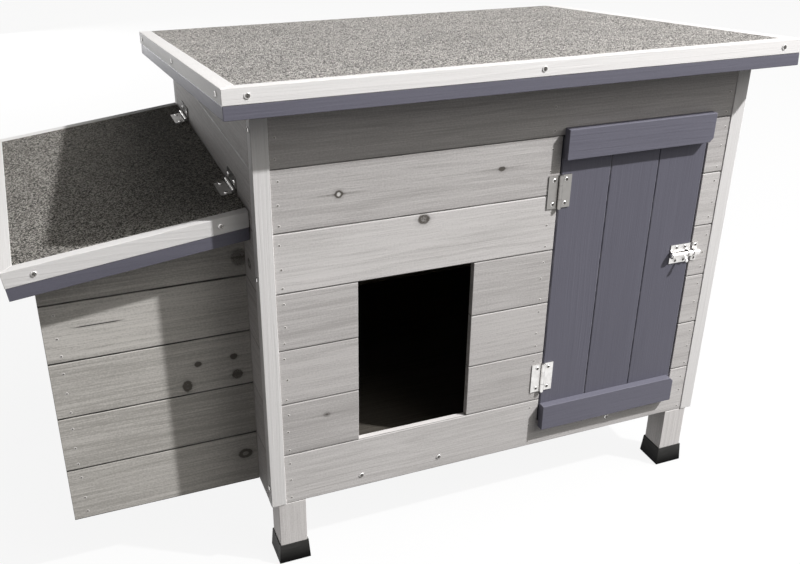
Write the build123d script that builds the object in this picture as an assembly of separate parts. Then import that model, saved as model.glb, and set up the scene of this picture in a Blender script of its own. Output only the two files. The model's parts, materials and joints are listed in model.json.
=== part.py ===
"""Rabbit hutch with a side nest box, a hinged door with a barrel bolt, and a hinged nest lid.

Millimetres. +X runs along the front from the nest box to the door, +Y from the front to the rear
and +Z up. Pieces are drawn from the left front corner of the house on the ground, and then moved
so that the origin lies on the ground under the middle of the whole hutch.
"""
import os
from math import cos, radians, sin, tan

from build123d import *

# House walls
house_w = 645.0
house_d = 490.0
ground_clearance = 95.0
board_pitch = 75.0
board_t = 9.0
board_bevel = 1.2
full_rows = 6
top_row_h = 86.0
corner_face = 19.0
corner_side = 15.0
corner_proud = 1.0
batten_w = 18.0
batten_t = 15.0
batten_setback = 8.0

# Legs and foot caps
leg_w = 36.0
cap_h = 29.0
cap_wall = 1.2
cap_flare = 1.8
cap_sole = 3.0
cap_chamfer = 1.5
cap_play = 0.1

# Floor
floor_rise = 38.0
floor_t = 9.0
bearer_w = 20.0
bearer_h = 22.0
floor_play = 0.2

# Doorway without a flap, and passage from the cabin to the nest box
entry_first_row = 1
entry_rows = 3
doorway_margin = 118.0
doorway_w = 151.0
passage_w = 150.0

# Door
door_margin = 50.0
door_w = 214.0
door_boards = 3
door_gap = 2.0
door_sill_h = 40.0
rail_h = 38.0
rail_t = 11.0
rail_lap = 12.0
rail_clip = 5.0

# Roof
roof_slope = 6.05
roof_over_front = 40.0
roof_over_side = 35.0
roof_over_rear = 58.0
roof_trim_w = 18.0
roof_trim_h = 17.0
roof_fascia_h = 15.0

# Panels, felt and fascia strips of roof and lid
panel_t = 9.0
felt_t = 3.2
trim_proud = 0.3
fascia_recess = 0.5

# Nest box
nest_len = 234.0
nest_front = 63.0
nest_rear_margin = 45.0
nest_rows = 4
nest_top_h = 55.0
lid_slope = 7.0
lid_over_end = 28.0
lid_over_front = 38.0
lid_over_rear = 38.0
lid_trim_w = 13.0
lid_trim_h = 19.0
lid_fascia_h = 15.5
lid_wall_gap = 1.0
lid_seat_gap = 0.3

# Butt hinges
hinge_h = 43.0
leaf_w = 16.0
leaf_t = 1.2
knuckle_r = 2.6
middle_knuckle = 18.0
knuckle_play = 0.3
pin_r = 1.2
pin_play = 0.05
pin_head_r = 2.0
pin_head_h = 0.8
hinge_screw_x = 8.4
hinge_screw_spacing = 31.0
door_hinge_inset = 69.0
lid_hinge_inset = 81.0

# Barrel bolt
bolt_above_middle = 19.0
plate_w = 31.0
plate_h = 27.0
plate_t = 1.2
plate_edge = 1.0
guide_w = 5.0
guide_wall = 1.2
rod_r = 3.0
rod_play = 0.3
rod_nose = 0.8
rod_reach = 3.0
rod_tail = 1.0
handle_r = 1.6
handle_len = 10.0
handle_turn = 135.0
handle_ball_r = 2.4
handle_free = 4.4
keeper_w = 8.0
keeper_gap = 1.0

# Screw heads
screw_r = 3.2
screw_h = 1.2
hinge_screw_r = 2.7
hinge_screw_h = 0.9
head_chamfer = 0.6
recess_w = 0.7
recess_depth = 0.6
recess_rim = 1.2
plate_screw_edge = 1.2
roof_screw_inset = 26.0
lid_screw_inset = 32.0
corner_screw_low = 26.0
corner_screw_middle = 320.0
corner_screw_high = 41.0
floor_screw_x = (121.0, 231.0, 495.0)


def block(x0, x1, y0, y1, z0, z1):
    """A box between two corners."""
    box = Box(x1 - x0, y1 - y0, z1 - z0, align=(Align.MIN, Align.MIN, Align.MIN))
    return Pos(x0, y0, z0) * box


def prism(plane, points, height):
    """A straight prism on an outline drawn in a plane, raised along the plane's normal."""
    outline = make_face(Polyline(*points, close=True))
    return extrude(plane * outline, amount=height, dir=plane.z_dir)


def mitred(x0, x1, y0, y1, width, start_mitre, end_mitre, z0, z1):
    """A strip along X on the line y0, with its inner side towards y1 and mitred ends."""
    side = 1.0 if y1 > y0 else -1.0
    inner = y0 + side * width
    points = [(x0, y0), (x1, y0), (x1 - end_mitre * width, inner), (x0 + start_mitre * width, inner)]
    return prism(Plane.XY.offset(z0), points, z1 - z0)


def group(pieces):
    """Separate solids that share one node."""
    solids = [solid for piece in pieces for solid in piece.solids()]
    return Compound(children=solids)


# Levels and planes that the pieces share
def row_z(row):
    """Underside of a row of wall boards, counted from the bottom row as 0."""
    return ground_clearance + row * board_pitch


wall_foot = row_z(0)
front_top = row_z(full_rows) + top_row_h
floor_top = wall_foot + floor_rise
floor_under = floor_top - floor_t
entry_z0 = row_z(entry_first_row)
entry_z1 = row_z(entry_first_row + entry_rows)
doorway_x0 = doorway_margin
doorway_x1 = doorway_margin + doorway_w
door_x1 = house_w - door_margin
door_x0 = door_x1 - door_w
door_hole_z0 = wall_foot + door_sill_h
door_hole_z1 = row_z(full_rows)
leg_x0 = board_t
leg_x1 = leg_x0 + leg_w
leg_y1 = leg_w
leg_x = leg_x0 + leg_w / 2
leg_y = leg_w / 2
nest_rear = house_d - nest_rear_margin
passage_y0 = (nest_front + nest_rear - passage_w) / 2
passage_y1 = passage_y0 + passage_w
roof_rise = tan(radians(roof_slope))
lid_rise = tan(radians(lid_slope))
nest_end_top = row_z(nest_rows) + nest_top_h
nest_wall_top = nest_end_top + nest_len * lid_rise

# The roof's plane is the underside of its panel, the lid's plane the underside of the lid panel
roof_plane = Plane(
    origin=(0, 0, front_top),
    x_dir=(1, 0, 0),
    z_dir=(0, sin(radians(roof_slope)), cos(radians(roof_slope))),
)
lid_dir = (cos(radians(lid_slope)), 0, sin(radians(lid_slope)))
lid_normal = (-sin(radians(lid_slope)), 0, cos(radians(lid_slope)))
lid_plane = Plane(origin=(0, 0, nest_wall_top + lid_seat_gap), x_dir=lid_dir, z_dir=lid_normal)

below_roof = prism(
    Plane.YZ.offset(-house_w),
    [
        (-house_d, -house_d),
        (2 * house_d, -house_d),
        (2 * house_d, front_top - 2 * house_d * roof_rise),
        (-house_d, front_top + house_d * roof_rise),
    ],
    3 * house_w,
)
below_lid = prism(
    Plane.XZ.offset(-2 * house_d),
    [
        (-2 * nest_len, -nest_len),
        (nest_len, -nest_len),
        (nest_len, nest_wall_top + nest_len * lid_rise),
        (-2 * nest_len, nest_wall_top - 2 * nest_len * lid_rise),
    ],
    4 * house_d,
)


# Wall boards
def front_board(x0, x1, z0, z1):
    """A board along X with its show face on y = 0, bevelled along its long edges."""
    points = [
        (0, z0 + board_bevel),
        (board_bevel, z0),
        (board_t, z0),
        (board_t, z1),
        (board_bevel, z1),
        (0, z1 - board_bevel),
    ]
    return prism(Plane.YZ.offset(x0), points, x1 - x0)


def left_board(y0, y1, z0, z1):
    """A board along Y with its show face on x = 0, looking towards -X."""
    return Rot(0, 0, -90) * front_board(-y1, -y0, z0, z1)


def right_board(y0, y1, z0, z1):
    """A board along Y with its show face on x = 0, looking towards +X."""
    return Rot(0, 0, 90) * front_board(y0, y1, z0, z1)


def rear_board(x0, x1, z0, z1):
    """A board along X with its show face on y = 0, looking towards +Y."""
    return Rot(0, 0, 180) * front_board(-x1, -x0, z0, z1)


def entry_row(row):
    """Whether the doorway and the passage cut this row."""
    return entry_first_row <= row < entry_first_row + entry_rows


def row_top(row):
    """Top of a row of the house walls, with spare height on the top row for the roof's cut."""
    return row_z(row + 1) if row < full_rows else front_top + house_d * roof_rise


def front_row(row):
    """One row of the front wall, broken by the doorway and by the door."""
    left_end = corner_face
    right_end = house_w - corner_face
    z0 = row_z(row)
    z1 = row_top(row)
    if row == full_rows:
        return front_board(left_end, right_end, z0, z1) & below_roof
    if row == 0:
        notch = block(door_x0 - door_gap, door_x1 + door_gap, -board_t, 2 * board_t, door_hole_z0, z1)
        return front_board(left_end, right_end, z0, z1) - notch
    spans = [(left_end, door_x0 - door_gap), (door_x1 + door_gap, right_end)]
    if entry_row(row):
        spans = [(left_end, doorway_x0), (doorway_x1, door_x0 - door_gap), spans[1]]
    return group([front_board(x0, x1, z0, z1) for x0, x1 in spans])


def left_row(row):
    """One row of the left wall, broken by the passage to the nest box."""
    spans = [(corner_side, house_d - corner_side)]
    if entry_row(row):
        spans = [(corner_side, passage_y0), (passage_y1, house_d - corner_side)]
    return [left_board(y0, y1, row_z(row), row_top(row)) & below_roof for y0, y1 in spans]


wall_rows = range(full_rows + 1)
front_rows = [front_row(row) for row in wall_rows]
left_wall = group([piece for row in wall_rows for piece in left_row(row)])
right_wall = group(
    [
        Pos(house_w, 0, 0) * right_board(corner_side, house_d - corner_side, row_z(row), row_top(row))
        & below_roof
        for row in wall_rows
    ]
)
rear_wall = group(
    [
        Pos(0, house_d, 0) * rear_board(corner_face, house_w - corner_face, row_z(row), row_top(row))
        & below_roof
        for row in wall_rows
    ]
)


# Corner trims, legs and foot caps, placed by the corner that they stand in
def in_corner(piece, right, rear):
    """Move a piece made for the left front corner to another corner."""
    if right:
        piece = Pos(house_w, 0, 0) * mirror(piece, about=Plane.YZ)
    if rear:
        piece = Pos(0, house_d, 0) * mirror(piece, about=Plane.XZ)
    return piece


def corner_trim(right, rear):
    """An L-shaped trim that closes the ends of the boards and stands proud of those it faces."""
    outline = [
        (0, -corner_proud),
        (corner_face, -corner_proud),
        (corner_face, board_t),
        (board_t, board_t),
        (board_t, corner_side),
        (0, corner_side),
    ]
    trim = prism(Plane.XY.offset(wall_foot), outline, row_top(full_rows) - wall_foot)
    return in_corner(trim, right, rear) & below_roof


def leg(right, rear):
    """A square leg, flush with the front or rear boards below them and rebated behind them."""
    foot = block(leg_x0, leg_x1, 0, leg_y1, cap_sole, wall_foot)
    post = block(leg_x0, leg_x1, board_t, leg_y1, wall_foot, row_top(full_rows))
    return in_corner(foot + post, right, rear) & below_roof


def foot_cap(right, rear):
    """A flared cap round the foot of one leg."""
    mouth = leg_w + 2 * cap_play + 2 * cap_wall
    sole = mouth + 2 * cap_flare
    low = Pos(0, 0, cap_chamfer) * Rectangle(sole, sole)
    ground = Rectangle(sole - 2 * cap_chamfer, sole - 2 * cap_chamfer)
    high = Pos(0, 0, cap_h) * Rectangle(mouth, mouth)
    skirt = loft([low, high], ruled=True)
    heel = loft([ground, low], ruled=True)
    inside = leg_w / 2 + cap_play
    socket = block(-inside, inside, -inside, inside, cap_sole, 2 * cap_h)
    return in_corner(Pos(leg_x, leg_y, 0) * (skirt + heel - socket), right, rear)


corners = {
    "front_left": (False, False),
    "front_right": (True, False),
    "rear_left": (False, True),
    "rear_right": (True, True),
}
foot_caps = group([foot_cap(*corner) for corner in corners.values()])

# Floors, bearers and battens
inner_x1 = house_w - board_t
inner_y1 = house_d - board_t
nest_inner_x0 = board_t - nest_len
nest_inner_y0 = nest_front + board_t
nest_inner_y1 = nest_rear - board_t


def floor_panel():
    """The cabin floor, notched round the legs."""
    panel = block(board_t, inner_x1, board_t, inner_y1, floor_under, floor_top)
    reach_x = leg_x1 + floor_play
    reach_y = leg_y1 + floor_play
    notch = block(0, reach_x, 0, reach_y, floor_under - floor_t, floor_top + floor_t)
    for right, rear in corners.values():
        panel -= in_corner(notch, right, rear)
    return panel


def floor_bearers():
    """Strips under both floors, inside their front and rear walls."""
    z0 = floor_under - bearer_h
    x0 = leg_x1
    x1 = house_w - leg_x1
    return group(
        [
            block(x0, x1, board_t, board_t + bearer_w, z0, floor_under),
            block(x0, x1, inner_y1 - bearer_w, inner_y1, z0, floor_under),
            block(nest_inner_x0, 0, nest_inner_y0, nest_inner_y0 + bearer_w, z0, floor_under),
            block(nest_inner_x0, 0, nest_inner_y1 - bearer_w, nest_inner_y1, z0, floor_under),
        ]
    )


def wall_battens():
    """Upright battens behind the boards at both sides of the doorway and passage, and at the door."""
    back = board_t + batten_t
    door_edge = door_x0 - door_gap
    entry_top = row_z(entry_first_row + entry_rows + 1)
    near_x = doorway_x0 - batten_setback
    far_x = doorway_x1 + batten_setback
    near_y = passage_y0 - batten_setback
    far_y = passage_y1 + batten_setback
    return group(
        [
            block(near_x - batten_w, near_x, board_t, back, floor_top, entry_top),
            block(far_x, far_x + batten_w, board_t, back, floor_top, entry_top),
            block(door_edge - batten_w, door_edge, board_t, back, floor_top, door_hole_z1 + batten_w),
            block(board_t, back, near_y - batten_w, near_y, floor_top, entry_top),
            block(board_t, back, far_y, far_y + batten_w, floor_top, entry_top),
        ]
    )


# Nest box
def nest_row_top(row):
    """Top of a row of the nest box walls, with spare height on the top row for the lid's cut."""
    return row_z(row + 1) if row < nest_rows else nest_wall_top + board_pitch


nest_row_list = range(nest_rows + 1)
nest_front_wall = group(
    [
        Pos(0, nest_front, 0) * front_board(-nest_len, 0, row_z(row), nest_row_top(row)) & below_lid
        for row in nest_row_list
    ]
)
nest_rear_wall = group(
    [
        Pos(0, nest_rear, 0) * rear_board(-nest_len, 0, row_z(row), nest_row_top(row)) & below_lid
        for row in nest_row_list
    ]
)
nest_end_wall = group(
    [
        Pos(-nest_len, 0, 0) * left_board(nest_inner_y0, nest_inner_y1, row_z(row), nest_row_top(row))
        & below_lid
        for row in nest_row_list
    ]
)
nest_floor = block(nest_inner_x0, 0, nest_inner_y0, nest_inner_y1, floor_under, floor_top)


def nest_battens():
    """Upright battens in the four inner corners of the nest box."""
    top = nest_wall_top + board_pitch
    spans_x = [(nest_inner_x0, nest_inner_x0 + batten_t), (-batten_t, 0)]
    spans_y = [(nest_inner_y0, nest_inner_y0 + batten_t), (nest_inner_y1 - batten_t, nest_inner_y1)]
    posts = [
        block(x0, x1, y0, y1, floor_top, top) & below_lid for x0, x1 in spans_x for y0, y1 in spans_y
    ]
    return group(posts)


# Roof, drawn flat on its own plane
roof_x0 = -roof_over_side
roof_x1 = house_w + roof_over_side
roof_y0 = -roof_over_front
roof_y1 = house_d / cos(radians(roof_slope)) + roof_over_rear
cover_top = panel_t + felt_t
trim_top = cover_top + trim_proud
roof_trim_z0 = trim_top - roof_trim_h
roof_fascia_z0 = roof_trim_z0 - roof_fascia_h


def on_roof(piece):
    """Move a piece from the flat drawing to the sloping roof."""
    return roof_plane.location * piece


def roof_side_strip(x0, x1, y0, y1, z0, z1):
    """A strip along the side edge x0 of the roof, with a mitre at its front end only."""
    width = abs(x1 - x0)
    points = [(x0, y0), (x1, y0 + width), (x1, y1), (x0, y1)]
    return prism(Plane.XY.offset(z0), points, z1 - z0)


def roof_sheet(z0, z1):
    """A sheet inside the trims, open to the rear edge."""
    return block(roof_x0 + roof_trim_w, roof_x1 - roof_trim_w, roof_y0 + roof_trim_w, roof_y1, z0, z1)


roof_panel = on_roof(roof_sheet(0, panel_t))
roof_felt = on_roof(roof_sheet(panel_t, cover_top))
roof_trim_front = on_roof(
    mitred(roof_x0, roof_x1, roof_y0, roof_y1, roof_trim_w, 1, 1, roof_trim_z0, trim_top)
)
roof_trim_sides = [
    on_roof(roof_side_strip(edge, inner, roof_y0, roof_y1, roof_trim_z0, trim_top))
    for edge, inner in ((roof_x0, roof_x0 + roof_trim_w), (roof_x1, roof_x1 - roof_trim_w))
]
fascia_x0 = roof_x0 + fascia_recess
fascia_x1 = roof_x1 - fascia_recess
fascia_y0 = roof_y0 + fascia_recess
fascia_y1 = roof_y1 - fascia_recess
fascia_w = roof_trim_w - fascia_recess
roof_fascia_front = on_roof(
    mitred(fascia_x0, fascia_x1, fascia_y0, fascia_y1, fascia_w, 1, 1, roof_fascia_z0, roof_trim_z0)
)
roof_fascia_sides = [
    on_roof(roof_side_strip(edge, inner, fascia_y0, fascia_y1 - fascia_w, roof_fascia_z0, roof_trim_z0))
    for edge, inner in ((fascia_x0, fascia_x0 + fascia_w), (fascia_x1, fascia_x1 - fascia_w))
]
roof_fascia_rear = on_roof(
    block(fascia_x0, fascia_x1, fascia_y1 - fascia_w, fascia_y1, roof_fascia_z0, roof_trim_z0)
    + block(
        roof_x0 + roof_trim_w, roof_x1 - roof_trim_w, fascia_y1 - fascia_w, fascia_y1, roof_trim_z0, 0
    )
)

# Nest lid, drawn flat on its own plane. Its strips and sheets run past the wall by trim_top, to be cut
lid_x0 = -nest_len / cos(radians(lid_slope)) - lid_over_end
lid_x1 = trim_top
lid_y0 = nest_front - lid_over_front
lid_y1 = nest_rear + lid_over_rear
lid_trim_z0 = trim_top - lid_trim_h
lid_fascia_z0 = lid_trim_z0 - lid_fascia_h
clear_of_wall = block(-2 * house_w, -lid_wall_gap, -house_d, 2 * house_d, 0, 2 * front_top)


def on_lid(piece):
    """Move a piece from the flat drawing to the sloping lid, cut upright beside the wall."""
    return lid_plane.location * piece & clear_of_wall


def lid_end_strip(x0, y0, y1, width, z0, z1):
    """A strip along the low end of the lid, mitred at both ends."""
    points = [(x0, y0), (x0 + width, y0 + width), (x0 + width, y1 - width), (x0, y1)]
    return prism(Plane.XY.offset(z0), points, z1 - z0)


def lid_sheet(z0, z1):
    """A sheet inside the trims that runs past the wall's face until it is cut."""
    return block(lid_x0 + lid_trim_w, lid_x1, lid_y0 + lid_trim_w, lid_y1 - lid_trim_w, z0, z1)


def lid_frame(recess, z0, z1):
    """Front, end and rear strips of one height round the lid."""
    x0 = lid_x0 + recess
    y0 = lid_y0 + recess
    y1 = lid_y1 - recess
    width = lid_trim_w - recess
    front = mitred(x0, lid_x1, y0, y1, width, 1, 0, z0, z1)
    end = lid_end_strip(x0, y0, y1, width, z0, z1)
    rear = mitred(x0, lid_x1, y1, y0, width, 1, 0, z0, z1)
    return [on_lid(front), on_lid(end), on_lid(rear)]


lid_panel = on_lid(lid_sheet(0, panel_t))
lid_felt = on_lid(lid_sheet(panel_t, cover_top))
lid_trims = lid_frame(0, lid_trim_z0, trim_top)
lid_fascias = group(lid_frame(fascia_recess, lid_fascia_z0, lid_trim_z0))

# Door
door_z0 = door_hole_z0 + door_gap
door_z1 = door_hole_z1 - door_gap
door_board_w = door_w / door_boards


def door_board(index):
    """One upright board of the door, bevelled along its long edges."""
    x0 = door_x0 + index * door_board_w
    x1 = x0 + door_board_w
    points = [
        (x0 + board_bevel, 0),
        (x1 - board_bevel, 0),
        (x1, board_bevel),
        (x1, board_t),
        (x0, board_t),
        (x0, board_bevel),
    ]
    return prism(Plane.XY.offset(door_z0), points, door_z1 - door_z0)


def door_rail(outer_z, inner_z):
    """A rail across the door boards, with the right corner of its inner edge clipped."""
    towards_inner = 1.0 if inner_z > outer_z else -1.0
    points = [
        (door_x0, outer_z),
        (door_x1, outer_z),
        (door_x1, inner_z - towards_inner * rail_clip),
        (door_x1 - rail_clip, inner_z),
        (door_x0, inner_z),
    ]
    return prism(Plane.XZ, points, rail_t)


door_board_list = [door_board(index) for index in range(door_boards)]
door_rail_bottom = door_rail(door_z0 - rail_lap, door_z0 - rail_lap + rail_h)
door_rail_top = door_rail(door_z1 + rail_lap, door_z1 + rail_lap - rail_h)

# Butt hinge, drawn with its pin on Z, its leaf towards +X and its back on y = leaf_seat
leaf_seat = knuckle_r + knuckle_play


def rings(radius, height, centres):
    """Round bars of one height on Z, stacked at the given centres."""
    return [Pos(0, 0, centre) * Cylinder(radius, height) for centre in centres]


def hinge_leaf(outer):
    """A leaf with the two outer knuckles, or with the middle one."""
    end_h = (hinge_h - middle_knuckle) / 2 - knuckle_play
    end_z = (hinge_h - end_h) / 2
    plate = block(0, leaf_w, leaf_seat - leaf_t, leaf_seat, -hinge_h / 2, hinge_h / 2)
    ends = rings(knuckle_r, end_h, (-end_z, end_z))
    middle = rings(knuckle_r, middle_knuckle, (0,))
    room = knuckle_r + knuckle_play
    if outer:
        kept = ends
        cleared = rings(room, middle_knuckle + 2 * knuckle_play, (0,))
    else:
        kept = middle
        cleared = rings(room, end_h + 2 * knuckle_play, (-end_z, end_z))
    leaf = plate
    for ring in cleared:
        leaf -= ring
    for ring in kept:
        leaf += ring
    return leaf - Cylinder(pin_r + pin_play, 2 * hinge_h)


def hinge_pin():
    """A pin with a flat head at each end."""
    head_z = (hinge_h + pin_head_h) / 2
    pin = Cylinder(pin_r, hinge_h + pin_head_h)
    for head in rings(pin_head_r, pin_head_h, (-head_z, head_z)):
        pin += head
    return pin


outer_leaf = hinge_leaf(True)
inner_leaf = hinge_leaf(False)
pin = hinge_pin()
door_axis_x = door_x0 - door_gap / 2
door_axis_y = -leaf_seat
door_hinge_spots = [
    Pos(door_axis_x, door_axis_y, z) for z in (door_z0 + door_hinge_inset, door_z1 - door_hinge_inset)
]

# The lid's pins keep leaf_seat from the wall and from the felt
felt_at_wall = lid_plane.origin.Z + cover_top / cos(radians(lid_slope))
lid_axis_x = -leaf_seat
lid_axis_z = felt_at_wall + lid_axis_x * lid_rise + leaf_seat / cos(radians(lid_slope))
lid_hinge_y = [lid_y0 + lid_hinge_inset, lid_y1 - lid_hinge_inset]
lid_wall_spots = [
    Plane(origin=(lid_axis_x, y, lid_axis_z), x_dir=(0, 0, 1), z_dir=(0, 1, 0)).location
    for y in lid_hinge_y
]
lid_leaf_spots = [
    Plane(
        origin=(lid_axis_x, y, lid_axis_z), x_dir=(-lid_dir[0], 0, -lid_dir[2]), z_dir=(0, -1, 0)
    ).location
    for y in lid_hinge_y
]
wall_leaf = mirror(outer_leaf, about=Plane.YZ)
hinge_wall_leaves = group(
    [spot * wall_leaf for spot in door_hinge_spots] + [spot * outer_leaf for spot in lid_wall_spots]
)
hinge_door_leaves = group([spot * inner_leaf for spot in door_hinge_spots])
hinge_lid_leaves = group([spot * inner_leaf for spot in lid_leaf_spots])
hinge_pins = group([spot * pin for spot in door_hinge_spots + lid_wall_spots])

# Barrel bolt, drawn with its rod on X at the height bolt_z
bolt_z = (door_z0 + door_z1) / 2 + bolt_above_middle
rod_y = -(plate_t + rod_r + rod_play)
plate_x1 = door_x1 - plate_edge
plate_x0 = plate_x1 - plate_w
keeper_x0 = door_x1 + door_gap + keeper_gap
keeper_x1 = keeper_x0 + keeper_w


def strap(x0, x1, foot_y):
    """A bridge over the rod: a half ring on two straight sides down to foot_y."""
    width = x1 - x0
    inner = rod_r + rod_play
    outer = inner + guide_wall
    middle_x = (x0 + x1) / 2
    ring_spot = Pos(middle_x, rod_y, bolt_z) * Rot(0, 90, 0)
    solid = ring_spot * Cylinder(outer, width)
    solid += block(x0, x1, rod_y, foot_y, bolt_z - outer, bolt_z + outer)
    solid -= ring_spot * Cylinder(inner, 2 * width)
    return solid


def bolt_plate():
    """The plate on the door with a guide at each end."""
    plate = block(plate_x0, plate_x1, -plate_t, 0, bolt_z - plate_h / 2, bolt_z + plate_h / 2)
    left = strap(plate_x0, plate_x0 + guide_w, -plate_t)
    right = strap(plate_x1 - guide_w, plate_x1, -plate_t)
    return plate + left + right


def bolt_keeper():
    """The keeper on the wall: a bridge with a flat foot above and below."""
    foot = block(keeper_x0, keeper_x1, -plate_t, 0, bolt_z - plate_h / 2, bolt_z + plate_h / 2)
    inner = rod_r + rod_play
    channel = block(keeper_x0 - guide_w, keeper_x1 + guide_w, rod_y, 0, bolt_z - inner, bolt_z + inner)
    return foot + strap(keeper_x0, keeper_x1, 0) - channel


def bolt_rod():
    """The rod at rest in the keeper, with a bent handle that ends in a ball."""
    tail_x = plate_x0 - rod_tail
    tip_x = keeper_x1 + rod_reach
    rod = Pos((tail_x + tip_x) / 2, rod_y, bolt_z) * Rot(0, 90, 0) * Cylinder(rod_r, tip_x - tail_x)
    rod = chamfer(rod.edges().filter_by(GeomType.CIRCLE), rod_nose)
    handle_x = plate_x1 - guide_w - handle_free - handle_r
    spot = Pos(handle_x, rod_y, bolt_z) * Rot(handle_turn, 0, 0)
    stem = spot * Cylinder(handle_r, handle_len, align=(Align.CENTER, Align.CENTER, Align.MIN))
    ball = spot * Pos(0, 0, handle_len) * Sphere(handle_ball_r)
    return rod + stem + ball


# Screw heads, drawn on the XY plane with the head towards +Z
def screw_head(radius, height):
    """A low domed head with a cross recess."""
    head = Cylinder(radius, height, align=(Align.CENTER, Align.CENTER, Align.MIN))
    rim = head.edges().filter_by(GeomType.CIRCLE).sort_by(Axis.Z)[-1]
    head = chamfer(rim, head_chamfer)
    span = 2 * (radius - recess_rim)
    for size in ((span, recess_w), (recess_w, span)):
        head -= Pos(0, 0, height) * Box(size[0], size[1], 2 * recess_depth)
    return head


big_screw = screw_head(screw_r, screw_h)
small_screw = screw_head(hinge_screw_r, hinge_screw_h)


def facing(point, normal):
    """A place on a surface whose outward normal is given."""
    return Plane(origin=point, z_dir=normal).location


def roof_screws():
    """Three screws in each roof trim."""
    z = trim_top - roof_trim_h / 2
    along_x = [roof_x0 + roof_screw_inset, (roof_x0 + roof_x1) / 2, roof_x1 - roof_screw_inset]
    along_y = [roof_y0 + roof_screw_inset, (roof_y0 + roof_y1) / 2, roof_y1 - roof_screw_inset]
    spots = [facing((x, roof_y0, z), (0, -1, 0)) for x in along_x]
    spots += [facing((roof_x0, y, z), (-1, 0, 0)) for y in along_y]
    spots += [facing((roof_x1, y, z), (1, 0, 0)) for y in along_y]
    return group([on_roof(spot * big_screw) for spot in spots])


def leaf_screws(spots, side):
    """Two screws on the front of each leaf that lies towards side * X from its pin."""
    heights = (-hinge_screw_spacing / 2, hinge_screw_spacing / 2)
    seat_y = leaf_seat - leaf_t
    places = [facing((side * hinge_screw_x, seat_y, z), (0, -1, 0)) for z in heights]
    return [spot * place * small_screw for spot in spots for place in places]


def lid_screws():
    """Two screws in each lid trim, and those of the hinge leaves on the lid."""
    z = trim_top - lid_trim_h / 2
    along_x = [lid_x0 + lid_screw_inset, -lid_screw_inset]
    along_y = [lid_y0 + lid_screw_inset, lid_y1 - lid_screw_inset]
    spots = [facing((x, lid_y0, z), (0, -1, 0)) for x in along_x]
    spots += [facing((x, lid_y1, z), (0, 1, 0)) for x in along_x]
    spots += [facing((lid_x0, y, z), (-1, 0, 0)) for y in along_y]
    heads = [on_lid(spot * big_screw) for spot in spots]
    return group(heads + leaf_screws(lid_leaf_spots, 1))


def corner_screws():
    """Screws in each corner trim, and screws through the front board into the bearer.

    The front trims have theirs in the side, the rear trims in the rear face.
    """
    heads = []
    for right, rear in corners.values():
        wall_top = front_top - house_d * roof_rise if rear else front_top
        heights = [wall_foot + corner_screw_low, wall_foot + corner_screw_middle, wall_top - corner_screw_high]
        for z in heights:
            side = facing((0, corner_side / 2, z), (-1, 0, 0))
            face = facing((corner_face / 2, -corner_proud, z), (0, -1, 0))
            heads.append(in_corner((face if rear else side) * big_screw, right, rear))
    bearer_z = floor_under - bearer_h / 2
    heads += [facing((x, 0, bearer_z), (0, -1, 0)) * big_screw for x in floor_screw_x]
    return group(heads)


def bolt_screws(x_places, side_z):
    """Screws at the corners of a bolt plate or keeper."""
    return [facing((x, -plate_t, bolt_z + dz), (0, -1, 0)) * small_screw for x in x_places for dz in side_z]


screw_dz = plate_h / 2 - hinge_screw_r - plate_screw_edge
plate_inset = guide_w + hinge_screw_r + plate_screw_edge
keeper_middle = (keeper_x0 + keeper_x1) / 2
door_screws = group(
    leaf_screws(door_hinge_spots, 1)
    + bolt_screws((plate_x0 + plate_inset, plate_x1 - plate_inset), (-screw_dz, screw_dz))
)
wall_hinge_screws = group(
    leaf_screws(door_hinge_spots, -1)
    + leaf_screws(lid_wall_spots, 1)
    + bolt_screws((keeper_middle,), (-screw_dz, screw_dz))
)

# All nodes
nodes = {f"front_board_{row + 1}": piece for row, piece in enumerate(front_rows)}
nodes["left_wall_boards"] = left_wall
nodes["right_wall_boards"] = right_wall
nodes["rear_wall_boards"] = rear_wall
for name, corner in corners.items():
    nodes["corner_trim_" + name] = corner_trim(*corner)
    nodes["leg_" + name] = leg(*corner)
nodes["foot_caps"] = foot_caps
nodes["floor_panel"] = floor_panel()
nodes["floor_bearers"] = floor_bearers()
nodes["wall_battens"] = wall_battens()
nodes["roof_panel"] = roof_panel
nodes["roof_felt"] = roof_felt
nodes["roof_trim_front"] = roof_trim_front
nodes["roof_trim_left"] = roof_trim_sides[0]
nodes["roof_trim_right"] = roof_trim_sides[1]
nodes["roof_fascia_front"] = roof_fascia_front
nodes["roof_fascia_left"] = roof_fascia_sides[0]
nodes["roof_fascia_right"] = roof_fascia_sides[1]
nodes["roof_fascia_rear"] = roof_fascia_rear
nodes["nest_front_boards"] = nest_front_wall
nodes["nest_end_boards"] = nest_end_wall
nodes["nest_rear_boards"] = nest_rear_wall
nodes["nest_floor"] = nest_floor
nodes["nest_battens"] = nest_battens()
nodes["lid_panel"] = lid_panel
nodes["lid_felt"] = lid_felt
nodes["lid_trim_front"] = lid_trims[0]
nodes["lid_trim_end"] = lid_trims[1]
nodes["lid_trim_rear"] = lid_trims[2]
nodes["lid_fascias"] = lid_fascias
for name, piece in zip(("left", "middle", "right"), door_board_list):
    nodes["door_board_" + name] = piece
nodes["door_rail_top"] = door_rail_top
nodes["door_rail_bottom"] = door_rail_bottom
nodes["hinge_wall_leaves"] = hinge_wall_leaves
nodes["hinge_door_leaves"] = hinge_door_leaves
nodes["hinge_lid_leaves"] = hinge_lid_leaves
nodes["hinge_pins"] = hinge_pins
nodes["bolt_plate"] = bolt_plate()
nodes["bolt_rod"] = bolt_rod()
nodes["bolt_keeper"] = bolt_keeper()
nodes["roof_screws"] = roof_screws()
nodes["corner_screws"] = corner_screws()
nodes["wall_hinge_screws"] = wall_hinge_screws
nodes["door_screws"] = door_screws
nodes["lid_screws"] = lid_screws()

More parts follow.
